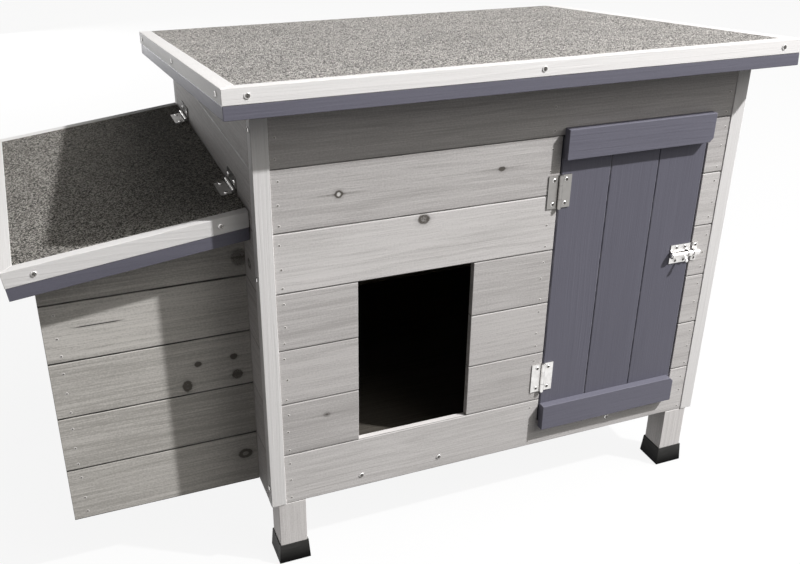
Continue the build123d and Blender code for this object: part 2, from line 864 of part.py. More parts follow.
# The origin goes to the ground under the middle of the whole hutch
whole = Compound(children=[Compound(children=list(piece.solids())) for piece in nodes.values()])
extent = whole.bounding_box()
to_origin = Pos(-extent.center().X, -extent.center().Y, -extent.min.Z)

os.makedirs("parts", exist_ok=True)
for name, piece in nodes.items():
    export_step(to_origin * piece, f"parts/{name}.step")
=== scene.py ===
"""Looks of the rabbit hutch: procedural wood, paint, felt, zinc and plastic, brad nails, light and camera.

Metres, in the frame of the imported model: +X along the front, +Y from the front to the rear, +Z up.
"""
import json
import random
from math import cos, pi, radians, sin

import bmesh
import bpy
from mathutils import Matrix, Vector


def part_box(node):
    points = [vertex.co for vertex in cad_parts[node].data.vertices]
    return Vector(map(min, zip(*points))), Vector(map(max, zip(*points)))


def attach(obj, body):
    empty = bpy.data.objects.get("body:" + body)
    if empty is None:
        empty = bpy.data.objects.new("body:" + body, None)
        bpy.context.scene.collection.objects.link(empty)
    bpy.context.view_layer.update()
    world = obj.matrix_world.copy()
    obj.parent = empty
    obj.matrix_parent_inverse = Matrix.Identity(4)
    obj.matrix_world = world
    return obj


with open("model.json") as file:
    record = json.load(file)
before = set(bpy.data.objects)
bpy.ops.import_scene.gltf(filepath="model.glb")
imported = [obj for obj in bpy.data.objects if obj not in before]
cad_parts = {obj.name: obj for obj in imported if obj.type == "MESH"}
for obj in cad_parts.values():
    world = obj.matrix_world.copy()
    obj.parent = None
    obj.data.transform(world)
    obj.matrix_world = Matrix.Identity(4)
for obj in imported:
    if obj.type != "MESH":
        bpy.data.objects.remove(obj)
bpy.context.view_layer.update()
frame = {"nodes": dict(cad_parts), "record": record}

MM = 0.001
NODES = frame["nodes"]

# Places of the walls, read from the frame
WALL_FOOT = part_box("front_board_1")[0].z
BOARD_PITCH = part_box("front_board_2")[0].z - WALL_FOOT
FRONT_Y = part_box("front_board_1")[0].y
REAR_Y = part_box("rear_wall_boards")[1].y
LEFT_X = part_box("left_wall_boards")[0].x
RIGHT_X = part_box("right_wall_boards")[1].x
WALL_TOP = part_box("front_board_7")[1].z
TRIM_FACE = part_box("front_board_1")[0].x - LEFT_X
NEST_LOW, NEST_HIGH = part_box("nest_front_boards")
NEST_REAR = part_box("nest_rear_boards")[1].y
CAP_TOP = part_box("foot_caps")[1].z
DOOR_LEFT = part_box("door_board_left")[0].x
DOOR_BOARD_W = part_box("door_board_middle")[0].x - DOOR_LEFT

# Camera, fitted to the photograph's 800 x 564 frame
CAMERA_PLACE = (-0.4202, -1.1871, 0.8920)
CAMERA_YAW = 22.286
CAMERA_PITCH = -26.642
CAMERA_ROLL = 0.886
CAMERA_LENS = 42.514
CAMERA_SENSOR = 36.0

# Light: a key from the upper right in front, two weak lamps for the sides that the photograph doesn't show,
# one behind and one low at the nest box's end, a wide glow in the sky round the key, given by its angle in
# degrees, and a weak even fill; then the floor as it throws light back, as it is seen, and its share of glow
TO_KEY = (1.66, -1.0, 1.70)
KEY_STEPS = 1.55
KEY_POWER = 183.0
KEY_SIZE = 0.12
BACK_PLACE = (-0.75, 3.2, 0.30)
BACK_POWER = 33.0
BACK_SIZE = 0.5
END_STEP = 0.65
END_HEIGHT = 0.08
END_POWER = 1.3
END_SIZE = 0.10
HALO_STRENGTH = 2.0
HALO_EDGE = 42.0
FILL_STRENGTH = 0.045
FILL_COLOUR = (1.0, 0.985, 0.94)
FLOOR_SIZE = 40.0
FLOOR_COLOUR = (0.10, 0.10, 0.10)
FLOOR_SHOWN = (0.86, 0.86, 0.86)
FLOOR_GLOW = 0.90

# Knots of the front wall and the nest box's front, in mm: from the house's left side, from the wall's foot,
# half width, half height; then how dark the heart, pale below 0, the rim and the smudge along the grain are
FRONT_KNOTS = (
    (96, 413, 4.0, 3.7, -1.0, 0.90, 0.60),
    (299, 418, 3.5, 2.4, 1.0, 0.80, 0.45),
    (200, 368, 6.0, 4.9, 0.5, 0.85, 0.1),
    (76, 124, 3.8, 3.2, 0.55, 0.30, 0.30),
)
NEST_KNOTS = (
    (-81, 163, 4.6, 6.4, 0.75, 1.0, 0.2),
    (-66, 191, 3.3, 3.1, 1.0, 0.95, 0.2),
    (-22, 193, 3.5, 3.3, 1.0, 0.95, 0.25),
    (-19, 167, 5.4, 5.4, 1.0, 0.8, 0.3),
    (-16, 45, 7.0, 5.5, 0.2, 1.2, 0.1),
    (-7, 325, 8.0, 9.0, 0.7, 0.6, 0.3),
)
SMUDGE_LENGTH = 70 * MM
SMUDGE_HEIGHT = 3.4 * MM

# Random knots of the walls that the photograph doesn't show: each wall's seed and count, the least and most
# half height, the stretch along the grain, and the choices of their shades
CHANCE_KNOTS = {"rear": (3, 7), "left": (4, 6), "right": (5, 6), "nest_rear": (6, 3), "nest_end": (8, 5)}
KNOT_HALVES = (3.0 * MM, 6.0 * MM)
KNOT_STRETCH = (1.0, 1.4)
KNOT_HEARTS = (0.3, 0.6, 0.95)
KNOT_RIM = 0.75
KNOT_SMUDGES = (0.0, 0.35)

# A drying crack in the nest box's front: its ends from the house's left side and its height, in mm
NEST_CRACK = (-206, -140, 268)
CRACK_WIDTH = 1.2 * MM

# Brad nails: how far from a board's end they stand, how far up the board, as shares of its height, and the
# outline of one from its rim to its middle, as shares of its radius and of its height; then how many boards
# the nails cross on the front, on the other sides of the house, and on the nest box
NAIL_INSET = 7.5 * MM
NAIL_SHARES = (0.12, 0.45, 0.82)
NAIL_WANDER = 3.0 * MM
NAIL_RADIUS = 1.9 * MM
NAIL_PROUD = 0.2 * MM
NAIL_SIDES = 12
NAIL_SEED = 11
NAIL_OUTLINE = ((1.0, 0.0), (0.85, 0.8), (0.6, 1.0), (0.5, 0.35), (0.25, 0.25))
NAIL_COLLAR_RINGS = 2
FRONT_ROWS = 7
SIDE_ROWS = 6
NEST_ROWS = 4

# Wood: the gap between year rings, the rounding of sawn edges with the limits of its steps, the seams
# between boards, each as how dark its painted shade is and how far that shade reaches up the board, and the
# grain's tone
RING_GAP = 9.0 * MM
EDGE_WEAR = 0.7 * MM
WELD_REACH = 0.01 * MM
FLAT_ANGLE = radians(1)
EDGE_ANGLE = radians(40)
CREASE_ANGLE = radians(50)
WALL_SEAM = (0.85, 1.3 * MM)
NEST_SEAM = (1.15, 2.3 * MM)
SEAM_SHADE = 9.0 * MM
MID_TONE = 0.42
WOODEN_SLOTS = ("grey_board", "white_trim", "blue_paint", "bare_wood")

# Colours in linear RGB; a wood has a light and a dark one, and its grain runs between them
BARE = (0.46, 0.400, 0.325), (0.270, 0.230, 0.182)
# Near black of the cabin's floor, painted shade that keeps the inside dark
CABIN_SHADE_DARK = (0.100, 0.090, 0.077), (0.056, 0.050, 0.042)
WASH = (0.744, 0.714, 0.704), (0.506, 0.482, 0.473)
PALE_WASH = (0.837, 0.806, 0.797), (0.606, 0.581, 0.570)
LEG_WASH = (0.900, 0.866, 0.855), (0.700, 0.671, 0.660)
NEST_WASH = (0.746, 0.714, 0.677), (0.466, 0.445, 0.416)
WHITE = (0.955, 0.935, 0.931), (0.870, 0.850, 0.845)
WHITE_WORN = (0.60, 0.57, 0.53)
BLUE = (0.179, 0.175, 0.218), (0.128, 0.126, 0.159)
BLUE_RAIL = (0.209, 0.205, 0.254), (0.149, 0.146, 0.185)
BLUE_WORN = (0.33, 0.325, 0.36)
KNOT_DARK = (0.085, 0.074, 0.063)
KNOT_PALE = (0.82, 0.80, 0.78)
# Dark of the drying crack, and of painted shade in seams, in metal recesses and on the wall leaves above the
# lid
CRACK_AND_SHADE_DARK = (0.03, 0.028, 0.025)
PLAIN_WHITE = (1.0, 1.0, 1.0)

# Felt: its light, middling and dark chippings, the bitumen that shows between them, and chippings per metre
ROOF_STONES = ((0.93, 0.886, 0.851), (0.50, 0.477, 0.457), (0.16, 0.153, 0.146))
# The lid's chippings are darker than the roof's, as painted shade
LID_STONES_SHADED = ((0.61, 0.580, 0.540), (0.295, 0.280, 0.258), (0.110, 0.105, 0.095))
BITUMEN = (0.035, 0.034, 0.032)
CHIP_SCALE = 820.0

# Metal and plastic; zinc goes from bright at the lower of two heights to grey at the upper one, as painted
# shade
ZINC_BRIGHT = (0.91, 0.895, 0.88)
ZINC_DULL = (0.74, 0.724, 0.708)
ZINC_GREY = (0.27, 0.258, 0.245)
SCREW_DIRT = (0.11, 0.105, 0.098)
# Heights between which the painted shade on zinc sets in
ZINC_SHADE_HEIGHTS = (0.36, 0.43)
NAIL_FILLER = (0.86, 0.83, 0.81), (0.68, 0.65, 0.63)
NAIL_STEEL = (0.22, 0.21, 0.20), (0.12, 0.108, 0.096)
CAP_BLACK = (0.003, 0.003, 0.003)
# Lighter colour of the plastic's upper edge, a painted sheen
CAP_SHEEN = (0.075, 0.074, 0.072)

# Depth of the relief in each kind of surface
WOOD_RELIEF = 0.3 * MM
CHIP_RELIEF = 0.9 * MM
METAL_RELIEF = 0.05 * MM
PLASTIC_RELIEF = 0.08 * MM

# Painted shade in the recesses of metal: how far round a point it looks for what covers it, and its samples
PLATE_RECESS = 2.2 * MM
SCREW_RECESS = 1.2 * MM
RECESS_SAMPLES = 8


class Wire:
    """A number in a material's node tree; arithmetic on it adds Math nodes."""

    def __init__(self, socket):
        self.socket = socket
        self.tree = socket.id_data

    def math(self, operation, *others):
        node = self.tree.nodes.new("ShaderNodeMath")
        node.operation = operation
        for socket, value in zip(node.inputs, (self,) + others):
            feed(socket, value)
        return Wire(node.outputs[0])

    def __add__(self, other):
        return self.math("ADD", other)

    def __sub__(self, other):
        return self.math("SUBTRACT", other)

    def __mul__(self, other):
        return self.math("MULTIPLY", other)

    def __truediv__(self, other):
        return self.math("DIVIDE", other)

    def floor(self):
        return self.math("FLOOR")

    def root(self):
        return self.math("SQRT")

    def size(self):
        return self.math("ABSOLUTE")

    def wave(self):
        return self.math("SINE")

    def over(self, other):
        return self.math("MAXIMUM", other)

    def span(self, low, high, to_low=0.0, to_high=1.0):
        """A smooth step from to_low at low to to_high at high; low may be the larger one."""
        node = self.tree.nodes.new("ShaderNodeMapRange")
        node.interpolation_type = "SMOOTHSTEP"
        for socket, value in zip(node.inputs, (self, low, high, to_low, to_high)):
            feed(socket, value)
        return Wire(node.outputs[0])


def feed(socket, value):
    """Links a wire to a socket, or sets a plain value on it."""
    if isinstance(value, Wire):
        socket.id_data.links.new(value.socket, socket)
    else:
        socket.default_value = value


def new_material(name, roughness=0.6, metallic=0.0, specular=0.5):
    """A material with its tree and its shader."""
    material = bpy.data.materials.new(name)
    material.use_nodes = True
    shader = material.node_tree.nodes["Principled BSDF"]
    shader.inputs["Roughness"].default_value = roughness
    shader.inputs["Metallic"].default_value = metallic
    shader.inputs["Specular IOR Level"].default_value = specular
    return material, material.node_tree, shader


def parts_of(tree, output):
    """The three numbers of a texture coordinate."""
    coordinates = tree.nodes.new("ShaderNodeTexCoord")
    split = tree.nodes.new("ShaderNodeSeparateXYZ")
    tree.links.new(coordinates.outputs[output], split.inputs[0])
    return [Wire(socket) for socket in split.outputs]


def joined(tree, x, y, z):
    """A vector socket made of three numbers."""
    node = tree.nodes.new("ShaderNodeCombineXYZ")
    for socket, value in zip(node.inputs, (x, y, z)):
        feed(socket, value)
    return node.outputs[0]


def noise(tree, x, y, z, detail=2.0, roughness=0.5):
    """Noise from 0 to 1 over coordinates that are already scaled."""
    node = tree.nodes.new("ShaderNodeTexNoise")
    tree.links.new(joined(tree, x, y, z), node.inputs["Vector"])
    node.inputs["Scale"].default_value = 1.0
    node.inputs["Detail"].default_value = detail
    node.inputs["Roughness"].default_value = roughness
    return Wire(node.outputs["Fac"])


def grains(tree, x, y, z, scale):
    """Random cells: a random number for each cell, and the distance to its middle."""
    node = tree.nodes.new("ShaderNodeTexVoronoi")
    tree.links.new(joined(tree, x, y, z), node.inputs["Vector"])
    node.inputs["Scale"].default_value = scale
    split = tree.nodes.new("ShaderNodeSeparateColor")
    tree.links.new(node.outputs["Color"], split.inputs[0])
    return Wire(split.outputs[0]), Wire(node.outputs["Distance"])


def dice(tree, seed):
    """Three random numbers for a seed."""
    node = tree.nodes.new("ShaderNodeTexWhiteNoise")
    node.noise_dimensions = "1D"
    feed(node.inputs["W"], seed)
    split = tree.nodes.new("ShaderNodeSeparateColor")
    tree.links.new(node.outputs["Color"], split.inputs[0])
    return [Wire(socket) for socket in split.outputs]


def mixed(tree, share, first, second):
    """A colour between two colours, each a tuple or a wire."""
    node = tree.nodes.new("ShaderNodeMix")
    node.data_type = "RGBA"
    feed(node.inputs[0], share)
    for socket, colour in ((node.inputs[6], first), (node.inputs[7], second)):
        feed(socket, colour if isinstance(colour, Wire) else (*colour, 1.0))
    return Wire(node.outputs[2])


def nearness(tree, distance):
    """Light that reaches a point from around it, from 0 in a deep recess to 1 in the open."""
    node = tree.nodes.new("ShaderNodeAmbientOcclusion")
    node.inputs["Distance"].default_value = distance
    node.samples = RECESS_SAMPLES
    return Wire(node.outputs["AO"])


def bump(tree, shader, height, distance, strength=1.0):
    """Relief of the surface by a height from 0 to 1."""
    node = tree.nodes.new("ShaderNodeBump")
    node.inputs["Strength"].default_value = strength
    node.inputs["Distance"].default_value = distance
    feed(node.inputs["Height"], height)
    tree.links.new(node.outputs["Normal"], shader.inputs["Normal"])


def knot_field(tree, along, across, knots):
    """How far knots push the grain aside, and how dark and how pale they make the wood."""
    push, dark, pale = 0.0, 0.0, 0.0
    ragged = noise(tree, along * 260.0, across * 260.0, 0.0) - 0.5
    rough = noise(tree, along * 700.0, across * 900.0, 0.0).span(0.3, 0.7, 0.65, 1.2)
    for place, height, half_width, half_height, heart, rim, smudge in knots:
        side = along - place
        rise = across - height
        share_side = side / half_width
        share_rise = rise / half_height
        reach = (share_side * share_side + share_rise * share_rise).root() + ragged * 0.45
        push = share_rise / (reach + 0.6) * reach.span(4.5, 0.3) * (half_height * 0.8) + push
        middle = reach.span(0.75, 0.4)
        ring = reach.span(0.4, 0.8) * reach.span(1.5, 0.95)
        halo = reach.span(2.6, 0.9) * (rim * 0.25)
        dark = (ring * rim + middle * max(heart, 0.0)) * rough + halo + dark
        pale = middle * max(-heart, 0.0) + pale
        if smudge:
            streak = rise.size().span(SMUDGE_HEIGHT, 0.0) * side.size().span(SMUDGE_LENGTH, 0.0)
            dark = streak * streak * (ragged + 0.9) * smudge + dark
    return push, dark, pale


def grain(tree, along, across, depth, chance):
    """Softwood grain: its tone, which is above 0 where it is dark, its relief, and its fibres.

    chance holds three random numbers of the board. The noises are scaled as waves per metre, few along the
    grain and many across it.
    """
    start = along + chance[0] * 40.0
    wander = noise(tree, start * 3.0, across * 12.0, chance[1] * 9.0) - 0.5
    heart = across - (chance[0] - 0.5) * 0.08
    deep = chance[1] * 0.04 + 0.006
    rings = (heart * heart + deep * deep).root() + along * (chance[2] - 0.5) * 0.02 + wander * 0.03
    line = (rings * (2.0 * pi / RING_GAP)).wave().span(0.3, 1.0)
    patch = noise(tree, start * 2.2, across * 14.0, chance[1] * 7.0).span(0.40, 0.62)
    fibre = noise(tree, start * 14.0, across * 800.0, depth * 800.0, detail=2.0, roughness=0.6)
    streak = noise(tree, start * 2.6, across * 230.0, depth * 120.0, detail=3.0, roughness=0.65)
    cloud = noise(tree, start * 4.5, across * 20.0, chance[2] * 5.0)
    dash = noise(tree, start * 34.0, across * 420.0, chance[0] * 5.0).span(0.62, 0.76)
    fleck = noise(tree, start * 420.0, across * 520.0, depth * 520.0)
    tone = (streak - 0.5) * 1.1 + (fibre - 0.5) * 1.5 + (cloud - 0.5) * 0.9
    tone = tone + dash * 0.3 + (fleck - 0.5) * 1.1
    tone = tone + line * patch * (chance[1] * 0.3 + 0.05) + (chance[2] - 0.5) * 0.4
    relief = fibre * 0.6 + streak * 0.4 + line * patch * 0.2
    return tone, relief, fibre


def painted_seam_shade(tree, along, row, low, high, lean, seam):
    """Painted shade along the seam between two boards, from 0 to 1.

    low and high are the ways down to the board's lower edge and up to its upper edge, and lean is how far
    the surface faces up.
    """
    depth, reach = seam
    patchy = noise(tree, along * 22.0, row * 3.7, 0.0).span(0.3, 0.65, 0.65, 1.0)
    broad = noise(tree, along * 6.0, row * 5.3, 3.0).span(0.4, 0.7)
    # gap paints the shadow in the seam at the board's lower edge, shade a band of painted shade above it, and
    # lip painted shade over the lit upper bevel
    gap = low.span(reach, reach * 0.55) * lean.span(0.25, -0.1)
    shade = low.span(SEAM_SHADE, 0.0) * lean.size().span(0.3, 0.1) * broad * 0.3
    lip = high.span(EDGE_WEAR * 1.3, EDGE_WEAR * 0.6) * lean.span(0.2, 0.5) * lean.span(0.99, 0.93) * 0.9
    return (gap + shade + lip) * patchy * depth


def rounded(facing):
    """1 on rounded edges, which face between the main directions, and 0 on flat faces."""
    return facing["x"].size().over(facing["y"].size()).over(facing["z"].size()).span(0.97, 0.82)


def wood(
    name, axes, palette, rows=None, seam=None, knots=(), crack=None, inside=None, worn=None,
    contrast=1.0, roughness=0.62,
):
    """Sawn softwood, washed or painted, with grain along the first of the axes.

    palette gives its light and its dark colour. rows gives the edge and the height of the boards that lie
    side by side across the second axis, and seam the painted shade between them. inside gives the direction
    that faces the room, where the wood is bare, and worn the colour that shows through on rubbed edges.
    """
    material, tree, shader = new_material(name, specular=0.2)
    point = dict(zip("xyz", parts_of(tree, "Object")))
    facing = dict(zip("xyz", parts_of(tree, "Normal")))
    along, across, depth = (point[axis] for axis in axes)
    island = Wire(tree.nodes.new("ShaderNodeNewGeometry").outputs["Random Per Island"])
    piece = Wire(tree.nodes.new("ShaderNodeObjectInfo").outputs["Random"])
    seed = island * 31.0 + piece * 57.0
    local = across
    if rows:
        edge, height = rows
        row = ((across - edge) / height).floor()
        local = across - edge - (row + 0.5) * height
        seed = seed + row * 1.7
        low = local + height / 2.0
        high = local * -1.0 + height / 2.0
    chance = dice(tree, seed)
    if knots:
        push, knot_dark, knot_pale = knot_field(tree, along, across, knots)
        local = local - push
    tone, relief, fibre = grain(tree, along, local, depth, chance)
    colour = mixed(tree, (tone * contrast + MID_TONE).span(-0.2, 1.2), *palette)
    if knots:
        colour = mixed(tree, knot_dark.math("MINIMUM", 0.95), colour, KNOT_DARK)
        colour = mixed(tree, knot_pale, colour, KNOT_PALE)
    if crack:
        first, last, height = crack
        gap = (across - height).size().span(CRACK_WIDTH, CRACK_WIDTH * 0.3)
        gap = gap * (along - (first + last) / 2.0).size().span((last - first) / 2.0, (last - first) / 4.0)
        colour = mixed(tree, gap * 0.95, colour, CRACK_AND_SHADE_DARK)
    if worn:
        rubbed = noise(tree, point["x"] * 60.0, point["y"] * 60.0, point["z"] * 60.0).span(0.42, 0.66)
        colour = mixed(tree, rounded(facing) * rubbed * 0.7, colour, worn)
    if inside:
        bare = mixed(tree, (tone + MID_TONE).span(0.0, 1.0), *BARE)
        colour = mixed(tree, (facing[inside[1]] * float(inside[0] + "1")).span(0.4, 0.7), colour, bare)
    # Painted shade along the seams between boards
    if seam:
        painted_seam = painted_seam_shade(tree, along, row, low, high, facing[axes[1]], seam)
        colour = mixed(tree, painted_seam, colour, CRACK_AND_SHADE_DARK)
    tree.links.new(colour.socket, shader.inputs["Base Color"])
    feed(shader.inputs["Roughness"], fibre * 0.2 + (roughness - 0.1))
    bump(tree, shader, relief, WOOD_RELIEF)
    return material


def felt(name, stones):
    """Bitumen felt under mineral chippings."""
    material, tree, shader = new_material(name, roughness=0.9, specular=0.12)
    light, middling, dark = stones
    x, y, z = parts_of(tree, "Object")
    chip, reach = grains(tree, x, y * 0.7, z, CHIP_SCALE)
    fine, _ = grains(tree, x, y * 0.7, z, CHIP_SCALE * 2.1)
    patch = noise(tree, x * 9.0, y * 9.0, z * 9.0, detail=3.0)
    colour = mixed(tree, chip.span(0.30, 0.42), dark, middling)
    colour = mixed(tree, chip.span(0.62, 0.78), colour, light)
    colour = mixed(tree, chip.span(0.18, 0.12), colour, BITUMEN)
    colour = mixed(tree, fine.span(0.4, 0.9) * 0.3, colour, dark)
    colour = mixed(tree, patch.span(0.35, 0.8) * 0.18, colour, dark)
    tree.links.new(colour.socket, shader.inputs["Base Color"])
    bump(tree, shader, reach.span(0.7, 0.1) + chip * 0.5, CHIP_RELIEF, 0.8)
    return material


def zinc():
    """Zinc plated steel, rolled along its length, with painted shade: grey high up, dark on the wall above
    the lid and in its recesses.
    """
    material, tree, shader = new_material("zinc_plate", metallic=1.0)
    x, y, z = parts_of(tree, "Object")
    leftward = parts_of(tree, "Normal")[0] * -1.0
    rolled = noise(tree, x * 900.0, y * 900.0, z * 60.0, detail=3.0)
    stain = noise(tree, x * 130.0, y * 130.0, z * 130.0, detail=3.0)
    spangle, _ = grains(tree, x, y, z, 420.0)
    colour = mixed(tree, stain.span(0.3, 0.75), ZINC_BRIGHT, ZINC_DULL)
    # Painted shade: grey on the zinc high up, dark on the wall leaves above the lid, and dark in recesses
    colour = mixed(tree, z.span(*ZINC_SHADE_HEIGHTS) * 0.85, colour, ZINC_GREY)
    colour = mixed(tree, x.span(LEFT_X + MM, LEFT_X) * leftward.span(0.6, 0.9) * 0.8, colour, CRACK_AND_SHADE_DARK)
    colour = mixed(tree, nearness(tree, PLATE_RECESS).span(0.8, 0.4), colour, CRACK_AND_SHADE_DARK)
    tree.links.new(colour.socket, shader.inputs["Base Color"])
    feed(shader.inputs["Roughness"], rolled * 0.2 + spangle * 0.1 + 0.22)
    bump(tree, shader, rolled, METAL_RELIEF, 0.6)
    return material


def screw_zinc():
    """Screw heads: painted shade in the recess, stains on the flat, and a brighter rounded rim."""
    material, tree, shader = new_material("zinc_screw", roughness=0.35, metallic=1.0)
    x, y, z = parts_of(tree, "Object")
    facing = dict(zip("xyz", parts_of(tree, "Normal")))
    stain = noise(tree, x * 900.0, y * 900.0, z * 900.0)
    top = mixed(tree, stain.span(0.35, 0.7), ZINC_GREY, SCREW_DIRT)
    colour = mixed(tree, rounded(facing), top, ZINC_BRIGHT)
    # Painted shade in the screw's recess
    colour = mixed(tree, nearness(tree, SCREW_RECESS).span(0.8, 0.4), colour, CRACK_AND_SHADE_DARK)
    tree.links.new(colour.socket, shader.inputs["Base Color"])
    bump(tree, shader, stain, METAL_RELIEF, 0.6)
    return material


def nail_metal(name, stains, metallic):
    """A brad's dark head, or the pale filler pressed up round it, stained in two colours."""
    material, tree, shader = new_material(name, roughness=0.5, metallic=metallic)
    x, y, z = parts_of(tree, "Object")
    stain = noise(tree, x * 500.0, y * 500.0, z * 500.0)
    colour = mixed(tree, stain.span(0.4, 0.7), *stains)
    tree.links.new(colour.socket, shader.inputs["Base Color"])
    return material


def foot_plastic():
    """Black moulded plastic with a fine spark-eroded skin, lighter towards its upper edge as a painted sheen.
    """
    material, tree, shader = new_material("foot_plastic_moulded", specular=0.04)
    x, y, z = parts_of(tree, "Object")
    skin = noise(tree, x * 1600.0, y * 1600.0, z * 1600.0)
    scuff = noise(tree, x * 60.0, y * 60.0, z * 220.0, detail=4.0)
    # Painted sheen: lighter towards the upper edge
    sheen = z.span(0.0, CAP_TOP) * (scuff * 0.6 + 0.5)
    colour = mixed(tree, sheen, CAP_BLACK, CAP_SHEEN)
    tree.links.new(colour.socket, shader.inputs["Base Color"])
    feed(shader.inputs["Roughness"], skin * 0.2 + scuff * 0.2 + 0.25)
    bump(tree, shader, skin, PLASTIC_RELIEF, 0.5)
    return material


def seen_knots(knots):
    """Knots given in mm from the house's left side and the wall's foot, in the frame's metres."""
    return [
        (LEFT_X + x * MM, WALL_FOOT + z * MM, half_width * MM, half_height * MM, *shades)
        for x, z, half_width, half_height, *shades in knots
    ]


def chance_knots(wall, low, high, top):
    """Knots at random places of a wall that the photograph doesn't show."""
    seed, count = CHANCE_KNOTS[wall]
    draw = random.Random(seed)
    knots = []
    for _ in range(count):
        place = draw.uniform(low, high)
        height = draw.uniform(WALL_FOOT, top)
        half_height = draw.uniform(*KNOT_HALVES)
        half_width = half_height * draw.uniform(*KNOT_STRETCH)
        heart = draw.choice(KNOT_HEARTS)
        knots.append((place, height, half_width, half_height, heart, KNOT_RIM, draw.choice(KNOT_SMUDGES)))
    return knots


def dress(material, *names):
    """Gives nodes a material."""
    for name in names:
        NODES[name].material_slots[0].material = material


def soften(name):
    """Rounds a wooden node's sawn edges a little, without a crease on its flat faces."""
    node = NODES[name]
    weld = node.modifiers.new("weld", "WELD")
    weld.merge_threshold = WELD_REACH
    flat = node.modifiers.new("flat", "DECIMATE")
    flat.decimate_type = "DISSOLVE"
    flat.angle_limit = FLAT_ANGLE
    bevel = node.modifiers.new("edges", "BEVEL")
    bevel.width = EDGE_WEAR
    bevel.segments = 2
    bevel.limit_method = "ANGLE"
    bevel.angle_limit = EDGE_ANGLE
    split = node.modifiers.new("split", "EDGE_SPLIT")
    split.split_angle = CREASE_ANGLE
    node.modifiers.new("normals", "WEIGHTED_NORMAL")


def dress_walls():
    """Washed boards of the house and the nest box, bare inside."""
    rows = (WALL_FOOT, BOARD_PITCH)
    wash = {"palette": WASH, "rows": rows, "seam": WALL_SEAM}
    pale = {**wash, "palette": PALE_WASH}
    front = {"knots": seen_knots(FRONT_KNOTS), "inside": "+y"}
    grey_boards = [f"front_board_{number}" for number in (2, 3, 4, 6, 7)]
    dress(wood("front_boards", "xzy", **front, **wash), *grey_boards)
    dress(wood("front_boards_pale", "xzy", **front, **pale), "front_board_1", "front_board_5")
    rear_knots = chance_knots("rear", LEFT_X, RIGHT_X, WALL_TOP)
    dress(wood("rear_boards", "xzy", knots=rear_knots, inside="-y", **wash), "rear_wall_boards")
    for side, inside in (("left", "+x"), ("right", "-x")):
        side_knots = chance_knots(side, FRONT_Y, REAR_Y, WALL_TOP)
        dress(wood(f"{side}_boards", "yzx", knots=side_knots, inside=inside, **wash), f"{side}_wall_boards")
    nest = {"palette": NEST_WASH, "rows": rows, "seam": NEST_SEAM, "contrast": 1.2}
    first, last, height = NEST_CRACK
    crack = (LEFT_X + first * MM, LEFT_X + last * MM, WALL_FOOT + height * MM)
    front = {"knots": seen_knots(NEST_KNOTS), "crack": crack, "inside": "+y"}
    dress(wood("nest_front_boards", "xzy", **front, **nest), "nest_front_boards")
    rear_knots = chance_knots("nest_rear", NEST_LOW.x, NEST_HIGH.x, NEST_HIGH.z)
    dress(wood("nest_rear_boards", "xzy", knots=rear_knots, inside="-y", **nest), "nest_rear_boards")
    end_knots = chance_knots("nest_end", NEST_LOW.y, NEST_REAR, NEST_HIGH.z)
    dress(wood("nest_end_boards", "yzx", knots=end_knots, inside="+x", **nest), "nest_end_boards")


def dress_frame():
    """Legs, painted trims and fascias, the door, the bare pieces inside, and the cabin's floor darkened as
    painted shade.
    """
    corners = ("front_left", "front_right", "rear_left", "rear_right")
    dress(wood("leg_wash", "zxy", LEG_WASH), *(f"leg_{corner}" for corner in corners))
    white = {"palette": WHITE, "worn": WHITE_WORN, "contrast": 0.6}
    dress(wood("white_upright", "zxy", **white), *(f"corner_trim_{corner}" for corner in corners))
    dress(wood("white_across", "xzy", **white), "roof_trim_front", "lid_trim_front", "lid_trim_rear")
    dress(wood("white_deep", "yzx", **white), "roof_trim_left", "roof_trim_right", "lid_trim_end")
    paint = {"roughness": 0.5, "contrast": 0.4}
    dress(wood("blue_rail", "xzy", BLUE_RAIL, **paint), "door_rail_top", "door_rail_bottom")
    blue = {"palette": BLUE, "worn": BLUE_WORN, **paint}
    dress(wood("blue_across", "xzy", **blue), "roof_fascia_front", "roof_fascia_rear", "lid_fascias")
    dress(wood("blue_deep", "yzx", **blue), "roof_fascia_left", "roof_fascia_right")
    door = ("door_board_left", "door_board_middle", "door_board_right")
    dress(wood("blue_door", "zxy", rows=(DOOR_LEFT, DOOR_BOARD_W), **blue), *door)
    dress(wood("bare_across", "xzy", BARE), "floor_bearers", "wall_battens", "nest_battens")
    dress(wood("bare_panel", "xyz", BARE), "roof_panel", "nest_floor", "lid_panel")
    # The cabin's floor near black, as painted shade inside
    dress(wood("cabin_floor_painted_shade", "xyz", CABIN_SHADE_DARK), "floor_panel")


def dress_rest():
    """Felt, metal and plastic."""
    dress(felt("roof_felt_chippings", ROOF_STONES), "roof_felt")
    dress(felt("lid_felt_chippings_shaded", LID_STONES_SHADED), "lid_felt")
    hinges = ("hinge_wall_leaves", "hinge_door_leaves", "hinge_lid_leaves", "hinge_pins")
    screws = [name for name in NODES if name.endswith("_screws")]
    dress(zinc(), *hinges, "bolt_plate", "bolt_rod", "bolt_keeper")
    dress(screw_zinc(), *screws)
    dress(foot_plastic(), "foot_caps")


